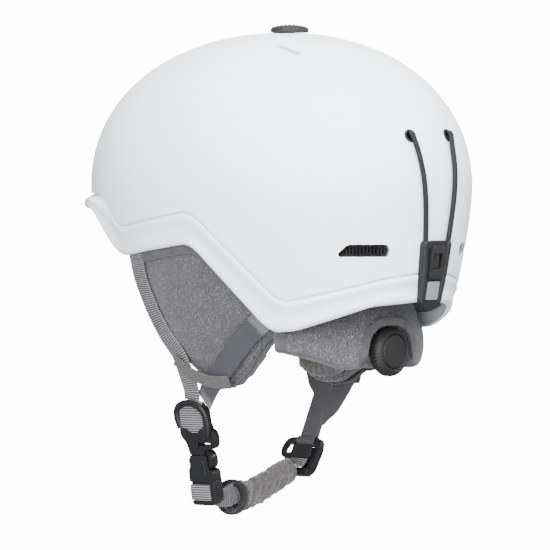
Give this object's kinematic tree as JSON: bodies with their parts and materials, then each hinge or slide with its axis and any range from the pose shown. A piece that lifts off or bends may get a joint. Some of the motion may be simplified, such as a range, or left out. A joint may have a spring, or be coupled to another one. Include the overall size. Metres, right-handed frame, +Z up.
{
  "type": "ski helmet",
  "caption": "Ski helmet with a two-piece hard shell, foam liner, ear pads, dial fit band, crown vent slider, goggle retainer and chin strap with buckle.",
  "frame": {"origin": "middle of the head opening, level with the widest part of the shell", "axes": "+Z up towards the crown, -Y the way the wearer looks, +X the wearer's left"},
  "size_m": [0.212, 0.2809, 0.3174],
  "materials": {
    "shell": "fine matte white paint",
    "foam": "beaded foam with a smooth skin",
    "lining": "brushed knit",
    "heather": "heather weave",
    "fleece": "short fleece",
    "band": "smooth elastic band",
    "webbing": "ribbed webbing",
    "dial_plastic": "textured",
    "black_plastic": "satin",
    "buckle_plastic": "satin, moulded",
    "slate": "satin, moulded",
    "elastic": "braided cord",
    "label": "satin",
    "binding": "twill tape",
    "steel": "plain",
    "acetal": "moulded"
  },
  "bodies": {
    "helmet": {"top_shell": "shell", "lower_rim": "shell", "foam_liner": "foam", "crown_pad": "lining", "brow_pad": "lining", "side_pad_left": "lining", "side_pad_right": "lining", "ear_pad_left": "heather", "ear_pad_right": "heather", "nape_pad_left": "heather", "nape_pad_right": "heather", "ear_lining_left": "fleece", "ear_lining_right": "fleece", "keeper_band_left": "band", "keeper_band_right": "band", "strap_left_front": "webbing", "strap_left_rear": "webbing", "strap_right_front": "webbing", "strap_right_rear": "webbing", "buckle_loop": "webbing", "ring_loop": "webbing", "dial_housing": "dial_plastic", "dial_back_plate": "dial_plastic", "vent_mesh_left": "black_plastic", "vent_mesh_right": "black_plastic", "strap_anchors": "black_plastic", "nape_cradle": "black_plastic", "nape_hangers": "black_plastic", "retainer_stud": "black_plastic", "buckle_male": "buckle_plastic", "eyelet_left": "slate", "eyelet_right": "slate"},
    "vent_slider": {"slider_button": "dial_plastic", "slider_screw": "steel", "vent_shutter": "black_plastic"},
    "dial": {"fit_dial": "dial_plastic", "dial_pinion": "acetal", "dial_screw": "steel"},
    "left_rack": {"rack_left": "black_plastic"},
    "right_rack": {"rack_right": "black_plastic"},
    "retainer": {"elastic_left": "elastic", "elastic_right": "elastic", "retainer_clip": "slate", "retainer_tongue": "slate", "retainer_label": "label"},
    "front_prong": {"prong_front": "buckle_plastic"},
    "rear_prong": {"prong_rear": "buckle_plastic"},
    "chin_strap": {"buckle_female": "buckle_plastic", "chin_webbing": "webbing", "chin_pad": "fleece", "chin_pad_binding": "binding", "strap_ring": "buckle_plastic"}
  },
  "joints": [
    {"name": "vent_slide", "type": "slide", "parent": "helmet", "child": "vent_slider", "axis": [0, -0.9962, 0.0872], "range_m": [0, 0.01]},
    {"name": "dial_turn", "type": "hinge", "parent": "helmet", "child": "dial", "pos_m": [0, 0.087, -0.105], "axis": [0, 1, 0], "range_deg": [-120, 60]},
    {"name": "left_rack_slide", "type": "slide", "parent": "helmet", "child": "left_rack", "axis": [1, 0, 0], "range_m": [-0.0105, 0.0053]},
    {"name": "right_rack_slide", "type": "slide", "parent": "helmet", "child": "right_rack", "axis": [-1, 0, 0], "range_m": [-0.0105, 0.0053]},
    {"name": "retainer_swing", "type": "hinge", "parent": "helmet", "child": "retainer", "pos_m": [0, 0.12611, 0.03509], "axis": [1, 0, 0], "range_deg": [0, 80]},
    {"name": "chin_swing", "type": "hinge", "parent": "helmet", "child": "chin_strap", "pos_m": [-0.052, -0.03, -0.168], "axis": [0, 1, 0], "range_deg": [0, 60]},
    {"name": "front_prong_squeeze", "type": "hinge", "parent": "helmet", "child": "front_prong", "pos_m": [0.049, -0.0385, -0.172], "axis": [0.9816, 0, -0.1908], "range_deg": [0, 6], "stiffness_Nm_per_rad": 0.05},
    {"name": "rear_prong_squeeze", "type": "hinge", "parent": "helmet", "child": "rear_prong", "pos_m": [0.049, -0.0215, -0.172], "axis": [-0.9816, 0, 0.1908], "range_deg": [0, 6], "stiffness_Nm_per_rad": 0.05}
  ],
  "couplings": [
    {"joint": "left_rack_slide", "follows": "dial_turn", "m_per_rad": 0.005},
    {"joint": "right_rack_slide", "follows": "dial_turn", "m_per_rad": 0.005}
  ]
}
